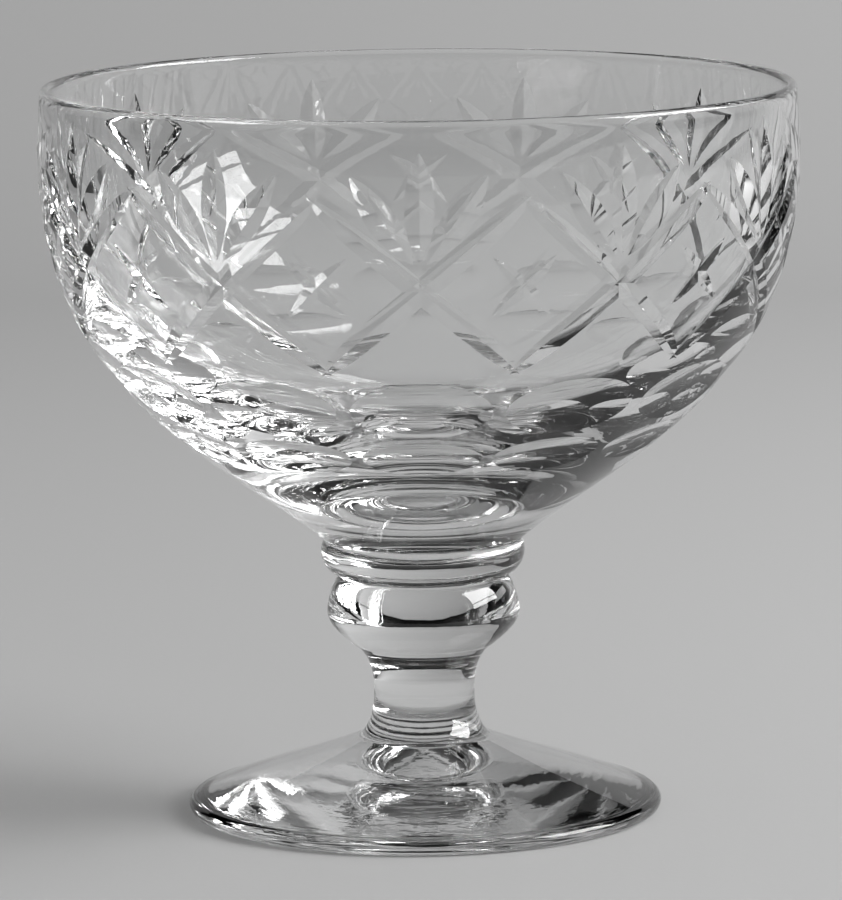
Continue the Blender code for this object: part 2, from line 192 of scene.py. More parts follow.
class Effects:
    """Shader node groups that the glass finishes share."""

    swell_detail: float = 1.0
    cord_detail: float = 2.0
    film_detail: float = 4.0
    film_warp: float = 0.6
    film_edges: tuple[float, float] = (0.52, 0.8)

    @staticmethod
    def group(name: str, entries: tuple[str, ...], result: str) -> bpy.types.ShaderNodeTree:
        """Makes an empty node group of numbers.

        Args:
            name: Name of the group.
            entries: Names of its inputs.
            result: Name of its output.

        Returns:
            The node group.
        """
        made = bpy.data.node_groups.new(name, "ShaderNodeTree")
        for entry in entries:
            made.interface.new_socket(entry, in_out="INPUT", socket_type="NodeSocketFloat")
        made.interface.new_socket(result, in_out="OUTPUT", socket_type="NodeSocketFloat")
        return made

    @classmethod
    def ripple(cls) -> bpy.types.ShaderNodeTree:
        """Builds the uneven skin of hand-worked glass: broad swells and fine cords round the axis.

        The cords are a noise of distance from the axis, height and direction, with a slow change round.

        Returns:
            The node group, whose output is Height.
        """
        entries = ("Swell Scale", "Cord Scale", "Cord Share", "Cord Turn")
        group = cls.group("hand_worked_ripple", entries, "Height")
        nodes = group.nodes
        links = group.links
        entry = nodes.new("NodeGroupInput")
        leave = nodes.new("NodeGroupOutput")
        place = nodes.new("ShaderNodeTexCoord")
        swell = nodes.new("ShaderNodeTexNoise")
        swell.inputs["Detail"].default_value = cls.swell_detail
        flat = maths(nodes, "ShaderNodeVectorMath", "MULTIPLY")
        flat.inputs[1].default_value = (1.0, 1.0, 0.0)
        reach = maths(nodes, "ShaderNodeVectorMath", "LENGTH")
        heading = maths(nodes, "ShaderNodeVectorMath", "NORMALIZE")
        slow = maths(nodes, "ShaderNodeVectorMath", "SCALE")
        rise = maths(nodes, "ShaderNodeVectorMath", "MULTIPLY")
        rise.inputs[1].default_value = (0.0, 0.0, 1.0)
        spot = maths(nodes, "ShaderNodeVectorMath", "ADD")
        cord = nodes.new("ShaderNodeTexNoise")
        cord.noise_dimensions = "4D"
        cord.inputs["Detail"].default_value = cls.cord_detail
        weigh = maths(nodes, "ShaderNodeMath", "MULTIPLY")
        total = maths(nodes, "ShaderNodeMath", "ADD")
        links.new(place.outputs["Object"], swell.inputs["Vector"])
        links.new(place.outputs["Object"], flat.inputs[0])
        links.new(place.outputs["Object"], rise.inputs[0])
        links.new(flat.outputs["Vector"], reach.inputs[0])
        links.new(flat.outputs["Vector"], heading.inputs[0])
        links.new(heading.outputs["Vector"], slow.inputs[0])
        links.new(entry.outputs["Cord Turn"], slow.inputs["Scale"])
        links.new(slow.outputs["Vector"], spot.inputs[0])
        links.new(rise.outputs["Vector"], spot.inputs[1])
        links.new(spot.outputs["Vector"], cord.inputs["Vector"])
        links.new(reach.outputs["Value"], cord.inputs["W"])
        links.new(entry.outputs["Swell Scale"], swell.inputs["Scale"])
        links.new(entry.outputs["Cord Scale"], cord.inputs["Scale"])
        links.new(cord.outputs["Fac"], weigh.inputs[0])
        links.new(entry.outputs["Cord Share"], weigh.inputs[1])
        links.new(swell.outputs["Fac"], total.inputs[0])
        links.new(weigh.outputs["Value"], total.inputs[1])
        links.new(total.outputs["Value"], leave.inputs["Height"])
        return group

    @classmethod
    def film(cls) -> bpy.types.ShaderNodeTree:
        """Builds the faint film of handling and wiping that dulls polished glass in patches.

        Returns:
            The node group, whose output is Roughness.
        """
        group = cls.group("handling_film", ("Clean", "Worn", "Scale"), "Roughness")
        nodes = group.nodes
        links = group.links
        entry = nodes.new("NodeGroupInput")
        leave = nodes.new("NodeGroupOutput")
        place = nodes.new("ShaderNodeTexCoord")
        cloud = nodes.new("ShaderNodeTexNoise")
        cloud.inputs["Detail"].default_value = cls.film_detail
        cloud.inputs["Distortion"].default_value = cls.film_warp
        spread = nodes.new("ShaderNodeMapRange")
        spread.inputs["From Min"].default_value, spread.inputs["From Max"].default_value = cls.film_edges
        links.new(place.outputs["Object"], cloud.inputs["Vector"])
        links.new(entry.outputs["Scale"], cloud.inputs["Scale"])
        links.new(cloud.outputs["Fac"], spread.inputs["Value"])
        links.new(entry.outputs["Clean"], spread.inputs["To Min"])
        links.new(entry.outputs["Worn"], spread.inputs["To Max"])
        links.new(spread.outputs["Result"], leave.inputs["Roughness"])
        return group


@dataclass(frozen=True)
class GlassFinish:
    """Clear lead glass with the traces of how its surface was worked."""

    name: str
    tint: tuple[float, float, float] = (0.985, 0.988, 0.988)
    index: float = 1.545
    swell_scale: float = 90.0
    cord_scale: float = 600.0
    cord_share: float = 0.2
    cord_turn: float = 0.004
    ripple_height: float = 0.03 * MM
    worn: float = 0.008
    film_scale: float = 45.0

    def material(
        self, ripple: bpy.types.ShaderNodeTree, film: bpy.types.ShaderNodeTree
    ) -> bpy.types.Material:
        """Makes the material.

        Args:
            ripple: Node group of the uneven skin.
            film: Node group of the handling film.

        Returns:
            A Principled glass material.
        """
        made = bpy.data.materials.new(self.name)
        made.use_nodes = True
        nodes = made.node_tree.nodes
        links = made.node_tree.links
        shader = nodes["Principled BSDF"]
        shader.inputs["Base Color"].default_value = (*self.tint, 1.0)
        shader.inputs["Transmission Weight"].default_value = 1.0
        shader.inputs["IOR"].default_value = self.index
        skin = nodes.new("ShaderNodeGroup")
        skin.node_tree = ripple
        skin.inputs["Swell Scale"].default_value = self.swell_scale
        skin.inputs["Cord Scale"].default_value = self.cord_scale
        skin.inputs["Cord Share"].default_value = self.cord_share
        skin.inputs["Cord Turn"].default_value = self.cord_turn
        bump = nodes.new("ShaderNodeBump")
        bump.inputs["Distance"].default_value = self.ripple_height
        links.new(skin.outputs["Height"], bump.inputs["Height"])
        links.new(bump.outputs["Normal"], shader.inputs["Normal"])
        wipe = nodes.new("ShaderNodeGroup")
        wipe.node_tree = film
        wipe.inputs["Worn"].default_value = self.worn
        wipe.inputs["Scale"].default_value = self.film_scale
        links.new(wipe.outputs["Roughness"], shader.inputs["Roughness"])
        return made


@dataclass(frozen=True)
class FusedJoint:
    """Face inside the glass where two pieces melted together, which light crosses without a trace."""

    name: str = "fused_joint"

    def material(self) -> bpy.types.Material:
        """Makes a material that lets everything through.

        Returns:
            A Principled material without any cover.
        """
        made = bpy.data.materials.new(self.name)
        made.use_nodes = True
        shader = made.node_tree.nodes["Principled BSDF"]
        shader.inputs["Alpha"].default_value = 0.0
        shader.inputs["Roughness"].default_value = 0.0
        return made


@dataclass
class GlassPiece:
    """One gather of glass that stands for one CAD node."""

    stack: Stack
    node: str = ""

    def outline(self) -> np.ndarray:
        """(radius, height) rows of the piece, down its outer side."""
        raise NotImplementedError

    def joints(self) -> tuple[float, ...]:
        """Heights of the faces that are fused to a neighbour."""
        raise NotImplementedError

    def build(self) -> bpy.types.Object:
        """Makes the piece's object from its outline.

        Returns:
            The object, linked to the scene.
        """
        mesh = turned_mesh(self.node + "_glass_body", self.outline(), self.joints())
        piece = bpy.data.objects.new(self.node + "_glass", mesh)
        bpy.context.scene.collection.objects.link(piece)
        return piece

    def dress(self, piece: bpy.types.Object, *materials: bpy.types.Material) -> bpy.types.Object:
        """Gives the piece its materials and its place in the frame.

        Args:
            piece: The object that build made.
            materials: One material for each place of Face that the mesh uses.

        Returns:
            The same object.
        """
        for material in materials:
            piece.data.materials.append(material)
        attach(piece, "root")
        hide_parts(self.node)
        log.info("%s: %d faces", piece.name, len(piece.data.polygons))
        return piece


@dataclass
class Foot(GlassPiece):
    """Low domed foot with a thin rounded edge, a flat resting ring and a conical hollow underneath."""

    node: str = "foot"
    edge: float = 2.1 * MM
    hollow: float = 6.2 * MM
    slope: float = 0.40
    pad: float = 8.6 * MM
    rest_inset: float = 1.75 * MM
    rest_width: float = 1.0 * MM
    hollow_low: tuple[float, float] = (0.753, 0.251)
    hollow_high: tuple[float, float] = (0.337, 0.641)
    dome_steps: int = 48
    edge_steps: int = 26
    hollow_steps: int = 40

    def joints(self) -> tuple[float, ...]:
        """The foot is fused to the stem above it."""
        return (self.stack.foot_top,)

    def outline(self) -> np.ndarray:
        """Pad, cubic dome, half-round edge, flat ring and cubic hollow.

        Returns:
            (radius, height) rows.
        """
        radius = node_radius(self.node)
        top = self.stack.foot_top
        half = self.edge / 2
        pad = (self.pad, top)
        brow = (radius - half, self.edge)
        reach = (brow[0] - pad[0]) / 3
        steep = reach * self.slope
        over = (pad[0] + reach, top - steep)
        beside = (brow[0] - reach, brow[1] + steep)
        dome = cubic(pad, over, beside, brow, self.dome_steps)
        turn = np.linspace(math.pi / 2, -math.pi / 2, self.edge_steps)[1:-1]
        edge = np.stack([brow[0] + half * np.cos(turn), half + half * np.sin(turn)], 1)
        rest = radius - self.rest_inset
        inner = rest - self.rest_width
        low = (self.hollow_low[0] * inner, self.hollow_low[1] * self.hollow)
        high = (self.hollow_high[0] * inner, self.hollow_high[1] * self.hollow)
        hollow = cubic((inner, 0.0), low, high, (0.0, self.hollow), self.hollow_steps)
        return joined((0.0, top), pad, dome, edge, (rest, 0.0), (inner, 0.0), hollow)


@dataclass
class Stem(GlassPiece):
    """Solid stem: neck, round knop, plain column and a flared base."""

    node: str = "stem"
    neck: float = 10.4 * MM
    column: float = 6.4 * MM
    base: float = 8.6 * MM
    knop_share: float = 0.214
    hip_share: float = 0.417
    hip_width: float = 0.469
    waist_share: float = 0.693
    column_share: float = 0.755
    crown_out: float = 0.615
    crown_drop: float = 0.269
    knop_above: float = 0.648
    knop_below: float = 1.02
    hip_above: tuple[float, float] = (0.185, 0.166)
    hip_below: tuple[float, float] = (0.158, 0.078)
    waist_pull: float = 0.176
    flare_drop: float = 0.5
    flare_end: tuple[float, float] = (0.55, 0.05)
    knop_steps: int = 30
    sweep_steps: int = 24

    def joints(self) -> tuple[float, ...]:
        """The stem is fused to the collar above and the foot below."""
        return (self.stack.stem_top, self.stack.foot_top)

    def outline(self) -> np.ndarray:
        """Cubic crown and cheek of the knop, cubic sweep to the column, straight column and cubic flare.

        Returns:
            (radius, height) rows.
        """
        knop = node_radius(self.node)
        low, high = (corner[2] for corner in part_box(self.node))
        tall = high - low
        top = self.stack.stem_top
        bottom = self.stack.foot_top
        neck = (self.neck, top)
        widest = (knop, high - self.knop_share * tall)
        narrow = knop - self.column
        hip = (self.column + self.hip_width * narrow, high - self.hip_share * tall)
        column = (self.column, high - self.waist_share * tall)
        flare_start = (self.column, high - self.column_share * tall)
        base = (self.base, bottom)
        swell = knop - self.neck
        fall = flare_start[1] - bottom
        over = (self.neck + self.crown_out * swell, top - self.crown_drop * swell)
        above = (knop, widest[1] + self.knop_above * swell)
        crown = cubic(neck, over, above, widest, self.knop_steps)
        above_hip = (hip[0] + self.hip_above[0] * narrow, hip[1] + self.hip_above[1] * narrow)
        below_hip = (hip[0] - self.hip_below[0] * narrow, hip[1] - self.hip_below[1] * narrow)
        below = (knop, widest[1] - self.knop_below * swell)
        cheek = cubic(widest, below, above_hip, hip, self.knop_steps)
        over_waist = (self.column, column[1] + self.waist_pull * tall)
        sweep = cubic(hip, below_hip, over_waist, column, self.sweep_steps)
        splay = self.base - self.column
        drop = (self.column, flare_start[1] - self.flare_drop * fall)
        pull = (self.column + self.flare_end[0] * splay, bottom + self.flare_end[1] * fall)
        flare = cubic(flare_start, drop, pull, base, self.sweep_steps)
        return joined((0.0, top), neck, crown, cheek, sweep, flare_start, flare, (0.0, bottom))


@dataclass
class Collar(GlassPiece):
    """Rounded disc of glass between the bowl and the stem."""

    node: str = "collar"
    top: float = 12.2 * MM
    neck: float = 10.4 * MM
    brow_drop: float = 1.5 * MM
    brow_inset: float = 0.2 * MM
    brow_pull: float = 0.8 * MM
    tuck_pull: float = 1.7 * MM
    tuck_end: tuple[float, float] = (1.1 * MM, 0.2 * MM)
    brow_steps: int = 14
    tuck_steps: int = 18

    def joints(self) -> tuple[float, ...]:
        """The collar is fused to the bowl above and the stem below."""
        return (self.stack.collar_top, self.stack.stem_top)

    def outline(self) -> np.ndarray:
        """Cubic brow over the widest line and a cubic tuck down to the neck.

        Returns:
            (radius, height) rows.
        """
        radius = node_radius(self.node)
        high = self.stack.collar_top
        low = self.stack.stem_top
        top = (self.top, high)
        widest = (radius, high - self.brow_drop)
        base = (self.neck, low)
        over = (radius - self.brow_inset, high)
        beside = (radius, widest[1] + self.brow_pull)
        brow = cubic(top, over, beside, widest, self.brow_steps)
        below = (radius, widest[1] - self.tuck_pull)
        under = (base[0] + self.tuck_end[0], base[1] + self.tuck_end[1])
        tuck = cubic(widest, below, under, base, self.tuck_steps)
        return joined((0.0, high), top, brow, tuck, (0.0, low))


@dataclass
class Wall:
    """Outer side of the bowl, addressed by a turn from the front and a length down from the rim."""

    line: np.ndarray
    probe: float = 0.05 * MM
    length: np.ndarray = field(init=False)

    def __post_init__(self) -> None:
        """Works out the running length of the line."""
        self.length = np.concatenate([[0.0], np.cumsum(np.hypot(*np.diff(self.line, axis=0).T))])

    def down(self, drop: float) -> float:
        """Length down the side at a height below the rim."""
        return float(np.interp(drop, self.line[0, 1] - self.line[:, 1], self.length))

    def radius(self, length: np.ndarray | float) -> np.ndarray:
        """Radius at a length down the side."""
        return np.interp(length, self.length, self.line[:, 0])

    def places(self, turn: np.ndarray, length: np.ndarray) -> tuple[np.ndarray, np.ndarray]:
        """Points and outward directions on the wall.

        A point is (radius sin turn, -radius cos turn, height), and its direction is square to the line.

        Args:
            turn: Turns from the front, in radians.
            length: Lengths down from the rim, of the same shape.

        Returns:
            Two arrays with one (x, y, z) for each turn.
        """
        height = np.interp(length, self.length, self.line[:, 1])
        above = np.interp(length - self.probe, self.length, self.line[:, 1])
        below = np.interp(length + self.probe, self.length, self.line[:, 1])
        widen = self.radius(length - self.probe) - self.radius(length + self.probe)
        up = np.array([0.0, 0.0, 1.0])
        across = np.stack([np.sin(turn), -np.cos(turn), np.zeros_like(turn)], -1)
        out = (above - below)[..., None] * across - widen[..., None] * up
        out /= np.linalg.norm(out, axis=-1, keepdims=True)
        return self.radius(length)[..., None] * across + height[..., None] * up, out


@dataclass
class Cutting:
    """The wheel cutting on the bowl, with the same marks as the CAD solid."""

    wall: Wall
    lattice_count: int = 11
    oval_count: int = 12
    hand_spacing: float = 0.06
    crossing_drop: float = 20.1 * MM
    lattice_rise: float = 20.9 * MM
    lattice_reach: float = 0.53
    mitre_depth: float = 0.53 * MM
    second_cut: float = 0.9
    half_angle: float = math.radians(71)
    petal_depth: float = 0.66 * MM
    fan_start: float = 3.0 * MM
    fan_length: float = 13.4 * MM
    fan_side_length: float = 10.6 * MM
    fan_spread: float = 0.32
    small_depth: float = 0.37 * MM
    small_spread: float = 0.15
    small_rise: float = 3.9 * MM
    oval_drop: float = 36.2 * MM
    oval_half_height: float = 4.7 * MM
    oval_fill: float = 0.455
    oval_depth: float = 1.0 * MM
    lower_drop: float = 42.8 * MM
    lower_half_height: float = 3.5 * MM
    lower_depth: float = 0.7 * MM
    clearance: float = 0.7 * MM
    runout: float = 0.02 * MM
    fan_foot: float = 0.03
    long_power: int = 6
    short_power: int = 2
    long_stations: int = 40
    petal_stations: int = 24
    small_stations: int = 16
    oval_reach: float = 1.12
    oval_rings: int = 12
    oval_steps: int = 72

    def hand_turn(self, index: float, count: int) -> float:
        """Turn of a hand-marked division, a little closer together at the front than at the back."""
        even = math.tau * index / count
        return even - self.hand_spacing * math.sin(even)

    def groove(
        self,
        start: tuple[float, float],
        end: tuple[float, float],
        depth: float,
        power: int,
        stations: int,
    ) -> tuple[np.ndarray, np.ndarray]:
        """A V-edged cutter that follows the wall, deepest halfway and running out at both ends.

        The depth is the greatest depth times (1 - |2 share - 1| to the power), and the V keeps its angle.

        Args:
            start: (turn, length) where the cut begins.
            end: (turn, length) where it ends.
            depth: Greatest depth.
            power: How long the cut keeps its depth before it runs out.
            stations: Number of cross-sections.

        Returns:
            The cutter's points, and its faces as rows of four corners.
        """
        share = (1.0 - np.cos(np.linspace(0.0, math.pi, stations))) / 2
        turn = start[0] + share * (end[0] - start[0])
        length = start[1] + share * (end[1] - start[1])
        points, out = self.wall.places(turn, length)
        along = np.gradient(points, axis=0)
        side = np.cross(along, out)
        side /= np.linalg.norm(side, axis=1, keepdims=True)
        sink = depth * (1.0 - np.abs(2.0 * share - 1.0) ** power)
        sink[[0, -1]] = -self.runout
        spread = ((sink + self.clearance) * math.tan(self.half_angle))[:, None]
        keel = points - out * sink[:, None]
        brow = points + out * self.clearance
        corners = np.stack([keel, brow + side * spread, brow - side * spread], 1).reshape(-1, 3)
        base = 3 * np.arange(stations - 1)[:, None]
        later = base + 3
        corner = np.arange(3)
        after = (corner + 1) % 3
        strips = np.stack([base + corner, later + corner, later + after, base + after], -1)
        last = 3 * (stations - 1)
        caps = np.array([[0, 1, 2, 2], [last + 2, last + 1, last, last]])
        return corners, np.vstack([strips.reshape(-1, 4), caps])

    def scoop(
        self, turn: float, drop: float, half_width: float, half_height: float, depth: float
    ) -> tuple[np.ndarray, np.ndarray]:
        """A cutter that leaves an oval hollow.

        Its depth at a share of the way out is the depth in the middle times (1 - share squared).

        Args:
            turn: Turn of the oval's middle.
            drop: Height of its middle below the rim.
            half_width: Half its width round the bowl.
            half_height: Half its height down the wall.
            depth: Depth in the middle.

        Returns:
            The cutter's points, and its faces as rows of four corners.
        """
        count = self.oval_steps
        rings = np.linspace(0.0, self.oval_reach, self.oval_rings + 1)[1:]
        around = np.linspace(0.0, math.tau, count, endpoint=False)
        middle = self.wall.down(drop)
        shares = np.concatenate([[0.0], np.repeat(rings, count)])
        angles = np.concatenate([[0.0], np.tile(around, len(rings))])
        length = middle + half_height * shares * np.sin(angles)
        turns = turn + half_width * shares * np.cos(angles) / self.wall.radius(middle)
        points, out = self.wall.places(turns, length)
        floor = points - out * (depth * (1.0 - shares**2))[:, None]
        corners = np.vstack([floor, points + out * self.clearance])
        above = len(floor)
        spot = np.arange(count)
        after = (spot + 1) % count
        hub = np.stack([np.zeros_like(spot), 1 + after, 1 + spot, 1 + spot], -1)
        near = 1 + count * np.arange(len(rings) - 1)[:, None]
        far = near + count
        bands = np.stack([near + spot, near + after, far + after, far + spot], -1)
        last = 1 + count * (len(rings) - 1)
        rim = np.stack([last + spot, last + after, above + last + after, above + last + spot], -1)
        under = np.vstack([hub, bands.reshape(-1, 4)])
        return corners, np.vstack([under[:, ::-1], above + under, rim[:, ::-1]])

    def families(self) -> dict[str, list[tuple[np.ndarray, np.ndarray]]]:
        """All the cutters, in families of shapes that stay clear of each other.

        Returns:
            Points and faces of the cutters, by the name of their family.
        """
        families: dict[str, list[tuple[np.ndarray, np.ndarray]]] = {}
        crossing = self.wall.down(self.crossing_drop)
        high = self.wall.down(self.crossing_drop - self.lattice_reach * self.lattice_rise)
        low = self.wall.down(self.crossing_drop + self.lattice_reach * self.lattice_rise)
        fan = crossing - self.fan_start
        step = math.tau / self.lattice_count
        petal_form = (self.petal_depth, self.short_power, self.petal_stations)
        for index in range(self.lattice_count):
            here = self.hand_turn(index, self.lattice_count)
            middle = self.hand_turn(index + 0.5, self.lattice_count)
            pitch = middle - self.hand_turn(index - 0.5, self.lattice_count)
            for side, word, share in ((-1, "left", self.second_cut), (1, "right", 1.0)):
                before = self.hand_turn(index - self.lattice_reach * side, self.lattice_count)
                after = self.hand_turn(index + self.lattice_reach * side, self.lattice_count)
                deep = share * self.mitre_depth
                ends = ((before, low), (after, high))
                long_cut = self.groove(*ends, deep, self.long_power, self.long_stations)
                families.setdefault("long_mitres_" + word, []).append(long_cut)
                foot = (here + side * self.fan_foot * pitch, fan)
                tip = (here + side * self.fan_spread * pitch, fan - self.fan_side_length)
                petal = self.groove(foot, tip, *petal_form)
                families.setdefault("fan_sides_" + word, []).append(petal)
                reach = self.small_spread * step * side
                start = (middle - reach, crossing + self.small_rise)
                end = (middle + reach, crossing - self.small_rise)
                shallow = share * self.small_depth
                small = self.groove(start, end, shallow, self.short_power, self.small_stations)
                families.setdefault("small_cross_" + word, []).append(small)
            centre = self.groove((here, fan), (here, fan - self.fan_length), *petal_form)
            families.setdefault("fan_centres", []).append(centre)
        rows = (
            ("ovals", self.oval_drop, self.oval_half_height, self.oval_depth),
            ("lower_ovals", self.lower_drop, self.lower_half_height, self.lower_depth),
        )
        for name, drop, half_height, depth in rows:
            for index in range(self.oval_count):
                here = self.hand_turn(index, self.oval_count)
                after = self.hand_turn(index + 0.5, self.oval_count)
                pitch = after - self.hand_turn(index - 0.5, self.oval_count)
                half_width = self.oval_fill * pitch * float(self.wall.radius(self.wall.down(drop)))
                oval = self.scoop(here, drop, half_width, half_height, depth)
                families.setdefault(name, []).append(oval)
        return families

    def cutter(self, name: str, shapes: list[tuple[np.ndarray, np.ndarray]]) -> bpy.types.Object:
        """One helper object from cutters that don't touch each other.

        A row that names a corner twice is a triangle.

        Args:
            name: Name of the family.
            shapes: Points and faces of each cutter.

        Returns:
            The object, with all its faces marked as cut.
        """
        starts = np.cumsum([0] + [len(points) for points, _ in shapes])
        points = np.vstack([points for points, _ in shapes])
        rows = np.vstack([start + faces for start, (_, faces) in zip(starts, shapes)])
        faces = [list(dict.fromkeys(row)) for row in rows.tolist()]
        mesh = bpy.data.meshes.new(name)
        mesh.from_pydata(points.tolist(), [], faces)
        mesh.polygons.foreach_set("material_index", np.full(len(faces), Face.CUT.value, np.int32))
        mesh.polygons.foreach_set("use_smooth", np.ones(len(faces), bool))
        mesh.update()
        helper = bpy.data.objects.new(name, mesh)
        bpy.context.scene.collection.objects.link(helper)
        return helper


@dataclass
class Bowl(GlassPiece):
    """Hemispherical bowl: plain rounded lip, cut outside, smooth inside and a heavy floor."""

    node: str = "bowl"
    rim_inset: float = 0.4 * MM
    rim_wall: float = 1.4 * MM
    base: float = 12.6 * MM
    joint: float = 12.2 * MM
    floor: float = 8.2 * MM
    turn_radius: float = 35.5 * MM
    turn_rise: float = 24.5 * MM
    turn_lean: float = math.radians(47.6)
    turn_pull: float = 9.4 * MM
    lip_lean: float = math.radians(3.9)
    lip_pull: float = 16.0 * MM
    shoulder_drop: float = 8.5 * MM
    lean: float = math.radians(48.9)
    fullness: float = 0.623
    band_swell: float = 0.15 * MM
    band_pull: float = 2.5 * MM
    tuck_inset: float = 0.15 * MM
    tuck_drop: float = 0.1 * MM
    inner_steps: int = 50
    lip_steps: int = 14
    band_steps: int = 6
    side_steps: int = 56
    tuck_steps: int = 4
    wall_steps: int = 160

    def joints(self) -> tuple[float, ...]:
        """The bowl is fused to the collar below it."""
        return (self.stack.collar_top,)

    def side(self, count: int) -> np.ndarray:
        """Outer side below the lip: one cubic curve from the shoulder to the base.

        Args:
            count: Number of points after the shoulder.

        Returns:
            (radius, height) rows.
        """
        radius = node_radius(self.node)
        shoulder = (radius, self.stack.rim - self.shoulder_drop)
        base = (self.base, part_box(self.node)[0][2])
        fall = shoulder[1] - base[1]
        pull = fall / 3
        first = (radius, shoulder[1] - self.fullness * fall)
        second = (base[0] + pull * math.sin(self.lean), base[1] + pull * math.cos(self.lean))
        return joined(shoulder, cubic(shoulder, first, second, base, count))

    def rim_radius(self) -> float:
        """Radius of the rim's outer edge."""
        return node_radius(self.node) - self.rim_inset

    def outline(self) -> np.ndarray:
        """Cubic inside from the floor up, half-round lip, plain band, outer side and tuck to the collar.

        Returns:
            (radius, height) rows.
        """
        half = self.rim_wall / 2
        lip = (self.rim_radius() - half, self.stack.rim - half)
        inner = (self.rim_radius() - self.rim_wall, lip[1])
        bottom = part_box(self.node)[0][2]
        floor = (0.0, bottom + self.floor)
        turn = (self.turn_radius, bottom + self.turn_rise)
        corner = turn[0] - (turn[1] - floor[1]) * math.tan(self.turn_lean)
        hub = (corner * 2 / 3, floor[1])
        below = (turn[0] + (corner - turn[0]) * 2 / 3, turn[1] + (floor[1] - turn[1]) * 2 / 3)
        dish = cubic(floor, hub, below, turn, self.inner_steps)
        above = (
            turn[0] + self.turn_pull * math.sin(self.turn_lean),
            turn[1] + self.turn_pull * math.cos(self.turn_lean),
        )
        under_lip = (
            inner[0] + self.lip_pull * math.sin(self.lip_lean),
            inner[1] - self.lip_pull * math.cos(self.lip_lean),
        )
        flank = cubic(turn, above, under_lip, inner, self.inner_steps)
        round_lip = np.linspace(math.pi, 0.0, self.lip_steps)[1:-1]
        rim = np.stack([lip[0] + half * np.cos(round_lip), lip[1] + half * np.sin(round_lip)], 1)
        shoulder = (node_radius(self.node), self.stack.rim - self.shoulder_drop)
        edge = (self.rim_radius(), lip[1])
        below_edge = (edge[0] + self.band_swell, edge[1] - self.band_pull)
        above_shoulder = (shoulder[0], shoulder[1] + self.band_pull)
        band = cubic(edge, below_edge, above_shoulder, shoulder, self.band_steps)
        outside = self.side(self.side_steps)[1:]
        base = (self.base, bottom)
        under_base = (self.base - self.tuck_inset, bottom - self.tuck_drop)
        joint = (self.joint, self.stack.collar_top)
        tuck = cubic(base, under_base, (self.joint, bottom), joint, self.tuck_steps)
        return joined(floor, dish, flank, rim, edge, band, outside, tuck, (0.0, self.stack.collar_top))

    def wall(self) -> Wall:
        """The outer side as a place for cuts."""
        return Wall(joined((self.rim_radius(), self.stack.rim), self.side(self.wall_steps)))

    def build(self) -> bpy.types.Object:
        """Turns the bowl, takes every family of cuts out of it and keeps each cut's edges crisp.

        Returns:
            The object, linked to the scene.
        """
        piece = super().build()
        cutting = Cutting(self.wall())
        helpers = [cutting.cutter(name, shapes) for name, shapes in cutting.families().items()]
        for helper in helpers:
            cut = piece.modifiers.new(helper.name, "BOOLEAN")
            cut.operation = "DIFFERENCE"
            cut.solver = "EXACT"
            cut.material_mode = "INDEX"
            cut.object = helper
        graph = bpy.context.evaluated_depsgraph_get()
        mesh = bpy.data.meshes.new_from_object(piece.evaluated_get(graph))
        mesh.name = self.node + "_glass_body"
        piece.modifiers.clear()
        piece.data = mesh
        for helper in helpers:
            bpy.data.objects.remove(helper)
        self.crisp(mesh)
        return piece

    def crisp(self, mesh: bpy.types.Mesh) -> None:
        """Marks an edge as sharp where a cut meets the skin or another cut face.

        Args:
            mesh: The cut bowl.
        """
        mesh.polygons.foreach_set("use_smooth", np.ones(len(mesh.polygons), bool))
        mesh.set_sharp_from_angle(angle=CUT_CREASE)
        marks = np.empty(len(mesh.polygons), np.int32)
        mesh.polygons.foreach_get("material_index", marks)
        counts = np.empty(len(mesh.polygons), np.int32)
        mesh.polygons.foreach_get("loop_total", counts)
        edges = np.empty(len(mesh.loops), np.int32)
        mesh.loops.foreach_get("edge_index", edges)
        mark_of_loop = np.repeat(marks, counts)
        lowest = np.full(len(mesh.edges), len(Face))
        highest = np.full(len(mesh.edges), -1)
        np.minimum.at(lowest, edges, mark_of_loop)
        np.maximum.at(highest, edges, mark_of_loop)
        sharp = np.empty(len(mesh.edges), bool)
        mesh.attributes["sharp_edge"].data.foreach_get("value", sharp)
        mesh.attributes["sharp_edge"].data.foreach_set("value", sharp | (lowest != highest))
        mesh.update()


